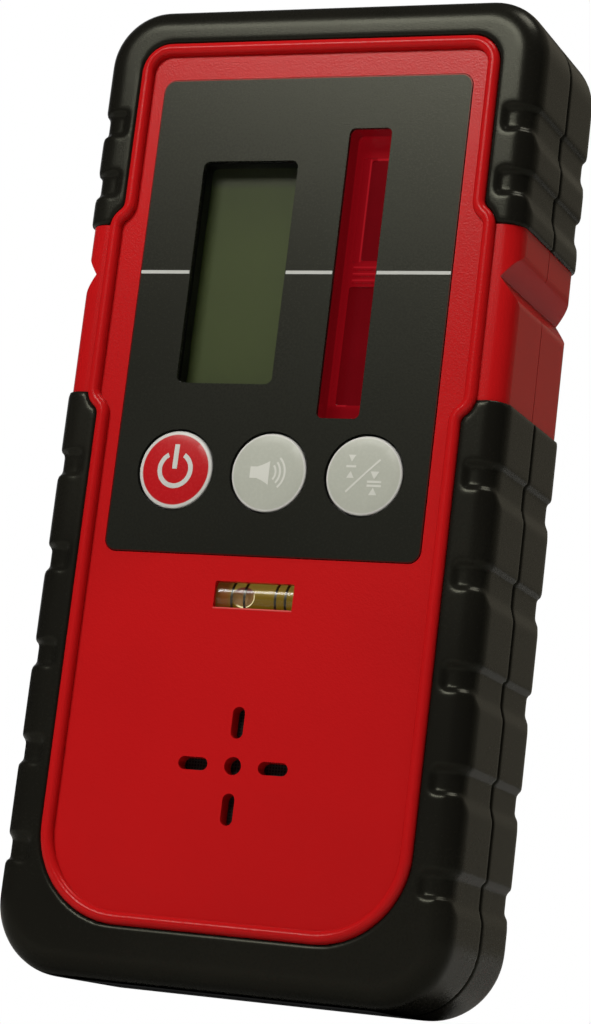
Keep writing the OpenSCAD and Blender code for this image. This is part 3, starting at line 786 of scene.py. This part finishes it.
def arc(name, centre, radius, width, start, sweep):
    """A curved stroke: one short edge spun about the sign's middle."""
    out = Vector((math.cos(start), 0, math.sin(start)))
    piece = flat(name, centre + out * radius, (width, width), -start)
    along = Vector((-out.z, 0, out.x))
    edit_at(piece, lambda spot: abs((spot - centre).dot(along)) > 0.01 * width)
    bpy.ops.mesh.delete(type="VERT")
    bpy.ops.mesh.select_all(action="SELECT")
    bpy.ops.mesh.spin(steps=32, angle=sweep, center=centre, axis=(0, 1, 0))
    done()
    return piece


print("strokes ready")

# %% [markdown]
# A pad presses ink onto a dome from straight in front, and a projection does the same: the
# joined strokes start a little in front of the cap and travel back until they meet it. A
# picture texture would be quicker, but it would have no edge for the light to catch.

# %% Printing a sign
INK = 0.03 * MM
HOVER = 0.4 * MM
INKS = {
    "white": plain("white_ink", (0.56, 0.57, 0.56), (0.52, 0.53, 0.52), 0.45, 0.3 * MM),
    "pale": plain("pale_ink", (0.595, 0.605, 0.570), (0.57, 0.58, 0.545), 0.45, 0.3 * MM),
    "line": plain("line_ink", (0.47, 0.48, 0.47), (0.44, 0.45, 0.44), 0.45, 0.3 * MM),
}
SIGN_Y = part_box("power_key")[0].y - HOVER


def print_on(name, strokes, solid, ink, body):
    """Joins strokes, wraps them on a solid and gives them the thickness of ink."""
    sign = join(strokes)
    sign.name = name
    sign.data.name = name
    edit_all(sign)
    bpy.ops.mesh.remove_doubles(threshold=0.0005 * MM)
    done()
    modify(
        sign, "SHRINKWRAP", target=solid, wrap_method="PROJECT", use_project_y=True,
        use_positive_direction=True, use_negative_direction=False, offset=0.01 * MM,
    )
    modify(sign, "SOLIDIFY", thickness=INK, offset=0)
    edit_all(sign)
    bpy.ops.mesh.normals_make_consistent(inside=False)
    done()
    settle(sign, INKS[ink], body)


def on_cap(key, across, up):
    """A point in front of a key cap, from its middle, in millimetres."""
    return Vector((KEY_X[key] + across * MM, SIGN_Y, KEY_Z + up * MM))


print("inks", sorted(INKS))

# %% [markdown]
# The power sign is an open ring with a bar in its gap.

# %% Power sign
GAP_END, SWEEP = math.radians(120), math.radians(300)
ring = arc("ring", on_cap("power", 0, 0), 2.75 * MM, 0.8 * MM, GAP_END, SWEEP)
bar = flat("bar", on_cap("power", -0.1, 2.15), (0.85 * MM, 4.1 * MM))
print_on("power_sign", [ring, bar], caps["power"], "white", "power_button")

# %% [markdown]
# The loudspeaker starts as a small box. Its right-hand edge is drawn out and spread to make
# the horn, and three arcs make the sound.

# %% Loudspeaker sign
HORN_STEP, HORN_SPREAD = 0.54 * MM, 1.2
SOUNDS = ((1.75, 0.72), (2.5, 0.74), (3.3, 0.82))
box = flat("box", on_cap("volume", -2.55, -0.05), (1.2 * MM, 1.9 * MM))
right = max(v.co.x for v in box.data.vertices)
edit_at(box, lambda spot: spot.x > right - HAIR)
for _ in range(4):
    bpy.ops.mesh.extrude_region_move(TRANSFORM_OT_translate={"value": (HORN_STEP, 0, 0)})
    bpy.ops.transform.resize(
        value=(1, 1, HORN_SPREAD), center_override=on_cap("volume", -0.2, 0)
    )
done()
sounds = [
    arc(f"sound_{i}", on_cap("volume", -0.4, 0), r * MM, 0.34 * MM, -turn, 2 * turn)
    for i, (r, turn) in enumerate(SOUNDS)
]
print_on(
    "loudspeaker_sign", [box, *sounds], caps["volume"], "pale", "volume_button"
)

# %% [markdown]
# The precision key has two little pictures parted by a slanted line: an open pair of
# arrows round one bar for coarse, and arrows closing on two bars for fine.

# %% Precision sign
def arrow(name, centre, size, turn):
    """A small filled triangle: a round of three points, divided so that it can wrap."""
    bpy.ops.mesh.primitive_circle_add(
        vertices=3, radius=size, fill_type="TRIFAN", location=centre,
        rotation=(FACE_TURN, turn, 0),
    )
    piece = new_piece(name)
    edit_all(piece)
    bpy.ops.mesh.subdivide(number_cuts=2)
    done()
    return piece


DOWN = math.pi
SLANT = -math.radians(45)
FINE_BAR = (2.4 * MM, 0.36 * MM)
precision = [
    flat("slash", on_cap("precision", -0.1, -0.05), (7.6 * MM, 0.32 * MM), SLANT),
    flat("coarse_bar", on_cap("precision", -2.25, 1.42), (1.7 * MM, 0.36 * MM)),
    flat("fine_bar_up", on_cap("precision", 1.95, -1.0), FINE_BAR),
    flat("fine_bar_low", on_cap("precision", 1.95, -1.65), FINE_BAR),
    arrow("coarse_down", on_cap("precision", -2.25, 2.95), 0.75 * MM, DOWN),
    arrow("coarse_up", on_cap("precision", -2.25, -0.1), 0.75 * MM, 0),
    arrow("fine_down", on_cap("precision", 1.9, 0.25), 0.85 * MM, DOWN),
    arrow("fine_up", on_cap("precision", 1.85, -2.75), 0.8 * MM, 0),
]
print_on(
    "precision_sign", precision, caps["precision"], "pale", "precision_button"
)

# %% [markdown]
# ## Label with a soft lens
#
# The label is a film with a clear soft lens cast over it, so it stands a little proud of the
# red face, its edge is round, and it throws a fine dark line to the lower right. The front
# of the solid label is drawn forward by the thickness of the lens and its edges are bevelled.

# %% Label with a soft lens
LENS = 0.34 * MM
film = solid_copy("front_label", "label_film")
edit_at(film, lambda spot: spot.y < label_low.y + HAIR)
bpy.ops.transform.translate(value=(0, -LENS, 0))
done()
round_edges(film, 0.12 * MM, 2)
only(film)
bpy.ops.object.shade_flat()
settle(film, FINISHES["label"], "case", ("front_label",))

# %% [markdown]
# ## Level line
#
# A white line printed across the label marks the height that the sensor reads. It stops at
# the display and at the sensor window, so it is three strips.

# %% Level line
LEVEL_Z = sum(c.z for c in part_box("lcd_glass")) / 2 - 0.13 * MM
LINE_H, LINE_GAP = 0.57 * MM, 0.3 * MM
LINE_Y = label_low.y - LENS - HOVER
STOPS = (label_low.x, -18.4 * MM, -1.4 * MM, 7.1 * MM, 14.5 * MM, label_high.x)
strips = []
for x0, x1 in zip(STOPS[::2], STOPS[1::2]):
    middle = Vector(((x0 + x1) / 2, LINE_Y, LEVEL_Z))
    strips.append(flat("strip", middle, (x1 - x0 - LINE_GAP, LINE_H)))
print_on("level_line", strips, film, "line", "case")

# %% [markdown]
# ## Bubble of the vial
#
# The bubble is a hollow in the liquid: light from the upper left falls on its lower right
# inside, and the liquid's finish paints a bright crescent there as well. So the liquid is turned
# as a rod with soft ends, and a ball is cut out of its front.

# %% Bubble of the vial
VIAL_MIDDLE = (0, VIAL_Y, VIAL_Z)
SPIRIT_R, END_ROUND = 2.8 * MM, 0.3 * MM


def rod(name, radius, length, centre=VIAL_MIDDLE, sides=96, fill="NGON"):
    """A cylinder from left to right."""
    bpy.ops.mesh.primitive_cylinder_add(
        vertices=sides, radius=radius, depth=length, end_fill_type=fill, location=centre,
        rotation=(0, math.pi / 2, 0),
    )
    return new_piece(name)


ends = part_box("vial_liquid")
liquid = rod("vial_spirit", SPIRIT_R, ends[1].x - ends[0].x)
for end in ends:
    edit_at(liquid, lambda spot: abs(spot.x - end.x) < HAIR)
    bpy.ops.mesh.bevel(offset=END_ROUND, segments=3, affect="EDGES")
    done()
bpy.ops.mesh.primitive_uv_sphere_add(
    segments=64, ring_count=32, radius=BUBBLE_R, location=BUBBLE
)
ball = bpy.context.object
modify(liquid, "BOOLEAN", operation="DIFFERENCE", object=ball, solver="EXACT")
bpy.data.objects.remove(ball)
smooth(liquid, 35)
settle(liquid, FINISHES["vial_liquid"], "case", ("vial_liquid",))

# %% [markdown]
# ## Marks of the vial
#
# The marks are four rings printed inside the tube. One is made, copied, and each copy moved
# along to its place.

# %% Marks of the vial
MARK_R, MARK_W = 2.86 * MM, 0.42 * MM
MARKS_X = (-4.35 * MM, -2.1 * MM, 3.25 * MM, 5.0 * MM)
mark = rod("vial_mark", MARK_R, MARK_W, fill="NOTHING")
modify(mark, "SOLIDIFY", thickness=INK, offset=0)
marks = [mark]
while len(marks) < len(MARKS_X):
    twin = mark.copy()
    twin.data = mark.data.copy()
    bpy.context.scene.collection.objects.link(twin)
    marks.append(twin)
for number, (ring, x) in enumerate(zip(marks, MARKS_X), 1):
    edit_all(ring)
    bpy.ops.transform.translate(value=(x, 0, 0))
    done()
    ring.name = f"vial_mark_{number}"
    settle(ring, FINISHES["black_plastic"])

# %% [markdown]
# ## Tube and sill of the vial
#
# The lamp draws one straight bright line along the tube, but only on an even surface, so the
# tube is turned again with many more sides: an open cylinder that is given its wall. The lower
# edge of the window in the case is round, a thin rod with round ends, most of it inside the
# case, and its red is painted paler as a highlight.

# %% Tube and sill of the vial
TUBE_WALL = 0.6 * MM
tube_low, tube_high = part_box("vial_tube")
tube_r, tube_l = (tube_high.y - tube_low.y) / 2, tube_high.x - tube_low.x
tube = rod("vial_glass", tube_r, tube_l, sides=128, fill="NOTHING")
modify(tube, "SOLIDIFY", thickness=TUBE_WALL, offset=-1)
smooth(tube, 40)
settle(tube, FINISHES["vial_clear"], "case", ("vial_tube",))

WINDOW_W, WINDOW_H = 13.7 * MM, 4.4 * MM
FACE_Y = tube_low.y - 0.6 * MM
SILL_R, SILL_IN = 0.17 * MM, 0.12 * MM
sill_middle = (0, FACE_Y + SILL_IN, VIAL_Z - WINDOW_H / 2)
sill = rod("vial_sill", SILL_R, WINDOW_W + 0.1 * MM, sill_middle, sides=32)
round_edges(sill, 0.10 * MM, 3)
smooth(sill, 40)
# painted highlight: the sill's red is paler than the case, as if catching the light
sill_painted_highlight = plain("sill_painted_highlight", (0.62, 0.048, 0.042), (0.58, 0.042, 0.038), 0.45, 0.3 * MM)
settle(sill, sill_painted_highlight)

# %% [markdown]
# ## Insert of the clamp
#
# The brass insert at the back takes a quarter-inch screw with twenty turns to the inch. Its
# body is one outline spun round the axis, with a chamfered mouth and a blind end.

# %% Insert of the clamp
PITCH, MAJOR, MINOR = 1.27, 3.2, 2.58
BLIND, MOUTH_R, MOUTH_DEEP = 1.5, 3.55, 0.4
AXIS_R, CHAMFER = 0.02, 0.25
insert_low, insert_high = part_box("threaded_insert")
INSERT_R = (insert_high.x - insert_low.x) / 2 / MM
INSERT_L = (insert_high.y - insert_low.y) / MM


def outline(name, points):
    """A chain of edges through (radius, height) points in millimetres, to turn about Y."""
    start = (points[0][0] * MM, points[0][1] * MM, 0)
    bpy.ops.mesh.primitive_plane_add(size=MM, location=start)
    piece = new_piece(name)
    edit_all(piece)
    bpy.ops.mesh.merge(type="CENTER")
    for (r0, y0), (r1, y1) in zip(points, points[1:]):
        step = ((r1 - r0) * MM, (y1 - y0) * MM, 0)
        bpy.ops.mesh.extrude_vertices_move(TRANSFORM_OT_translate={"value": step})
    done()
    return piece


insert = outline("clamp_insert", (
    (AXIS_R, 0), (INSERT_R, 0), (INSERT_R, INSERT_L - CHAMFER), (INSERT_R - CHAMFER, INSERT_L),
    (MOUTH_R, INSERT_L), (MAJOR, INSERT_L - MOUTH_DEEP), (MAJOR, BLIND), (AXIS_R, BLIND),
    (AXIS_R, 0),
))
edit_all(insert)
bpy.ops.mesh.spin(steps=64, angle=2 * math.pi, center=(0, 0, 0), axis=(0, 1, 0))
bpy.ops.mesh.select_all(action="SELECT")
bpy.ops.mesh.remove_doubles(threshold=0.001 * MM)
done()
print("insert", round(2 * INSERT_R, 2), "mm wide", round(INSERT_L, 2), "mm long")

# %% [markdown]
# The thread is a small ridge that a Screw modifier carries along the bore, one pitch further
# for every turn. Its feet reach a little into the wall, and its two ends are closed.

# %% Thread of the clamp
FOOT_R = MAJOR + 0.1
TURNS = int((INSERT_L - BLIND - 0.5) / PITCH)
ridge = outline("ridge", (
    (FOOT_R, BLIND), (MINOR, BLIND + 0.42 * PITCH), (MINOR, BLIND + 0.56 * PITCH),
    (FOOT_R, BLIND + 0.96 * PITCH), (FOOT_R, BLIND),
))
edit_all(ridge)
bpy.ops.mesh.remove_doubles(threshold=0.001 * MM)
done()
modify(
    ridge, "SCREW", axis="Y", angle=2 * math.pi, screw_offset=PITCH * MM, iterations=TURNS,
    steps=48, render_steps=48, use_merge_vertices=False,
)
edit_all(ridge)
bpy.ops.mesh.fill_holes(sides=0)
done()
join([insert, ridge])
edit_all(insert)
bpy.ops.mesh.normals_make_consistent(inside=False)
bpy.ops.transform.translate(value=(0, insert_low.y, (insert_low.z + insert_high.z) / 2))
done()
smooth(insert, 25)
settle(insert, FINISHES["insert_brass"], "case", ("threaded_insert",))
print("thread turns", TURNS)

# %% [markdown]
# ## Floor
#
# The receiver stands on a plain pale floor, which fades into the white backdrop far out, as a
# studio's curved paper does; only the eye sees that fade, so it adds no light to the part. The
# eye of this picture is lower than the floor, so the floor is made one-sided: seen from below
# it lets the view through.

# %% Floor
bpy.ops.mesh.primitive_plane_add(size=3)
floor = new_piece("floor")
pale, shader, place = finish("pale_floor", Roughness=0.7, Emission_Strength=1.0)
far = place.axis("X").away(place.axis("Y")).clamp(0.45, 1.45)
far = far * place.node("LightPath", out="Is Camera Ray")
feed(
    shader,
    Base_Color=grain(place, 60 * MM).blend((0.50, 0.50, 0.49), (0.47, 0.47, 0.46)),
    Emission_Color=far.blend((0.0, 0.0, 0.0), (1.0, 1.0, 1.0)),
)
see_through(pale, shader, 1 - place.node("NewGeometry", out="Backfacing"))
floor.data.materials.append(pale)
print("floor", [round(v, 2) for v in floor.dimensions])

# %% [markdown]
# ## Light
#
# A soft light above and to the left does most of the work, weak panels lift the shadows, and
# one more lights the back. That one gives no mirror image, which would whiten the far edges
# of the rubber. Each light is given by its place, seen from the part: degrees to the right of
# the front, degrees up and metres away; then its size, its watts and its colour.

# %% Light
AIM = Vector((0, 0, 0.085))
LIGHTS = {
    "key_light": ((-17, 31, 0.85), (0.40, 0.18), 5.5, (1.0, 0.98, 0.91)),
    "top_light": ((75, 70, 1.20), (0.50, 0.40), 6, (1.0, 0.96, 0.86)),
    "right_panel": ((145, 24, 1.25), (1.8, 1.4), 1.8, (1.0, 0.90, 0.66)),
    "left_panel": ((-140, 25, 1.35), (1.0, 0.9), 1.0, (1.0, 1.0, 1.0)),
    "back_light": ((-168, 40, 1.10), (0.60, 0.35), 6, (1.0, 0.98, 0.94)),
}
for name, ((turn, lift, distance), size, watts, colour) in LIGHTS.items():
    lamp = bpy.data.lights.new(name, "AREA")
    lamp.shape = "RECTANGLE"
    lamp.size, lamp.size_y = size
    lamp.energy = watts
    lamp.color = colour
    turn, lift = math.radians(turn), math.radians(lift)
    level = Vector((math.sin(turn), -math.cos(turn), 0)) * math.cos(lift)
    holder = bpy.data.objects.new(name, lamp)
    holder.location = AIM + distance * (level + Vector((0, 0, math.sin(lift))))
    holder.rotation_euler = (AIM - holder.location).to_track_quat("-Z", "Y").to_euler()
    holder.visible_glossy = name != "back_light"
    bpy.context.scene.collection.objects.link(holder)
print("lights", list(LIGHTS))

# %% [markdown]
# ## Backdrop
#
# The eye sees plain white behind the part, but only a trace of it lights the part, so that
# the lamps alone shape it.

# %% Backdrop
AMBIENT = 0.03
bpy.context.scene.view_settings.view_transform = "Standard"
world = bpy.data.worlds.new("studio")
bpy.context.scene.world = world
world.use_nodes = True
backdrop = world.node_tree.nodes["Background"]
backdrop.inputs["Color"].default_value = (1, 1, 1, 1)
eye_ray = Wire(world.node_tree).node("LightPath", out="Is Camera Ray")
strength = eye_ray * (1 - AMBIENT) + AMBIENT
world.node_tree.links.new(strength.socket, backdrop.inputs["Strength"])
print("backdrop", world.name)
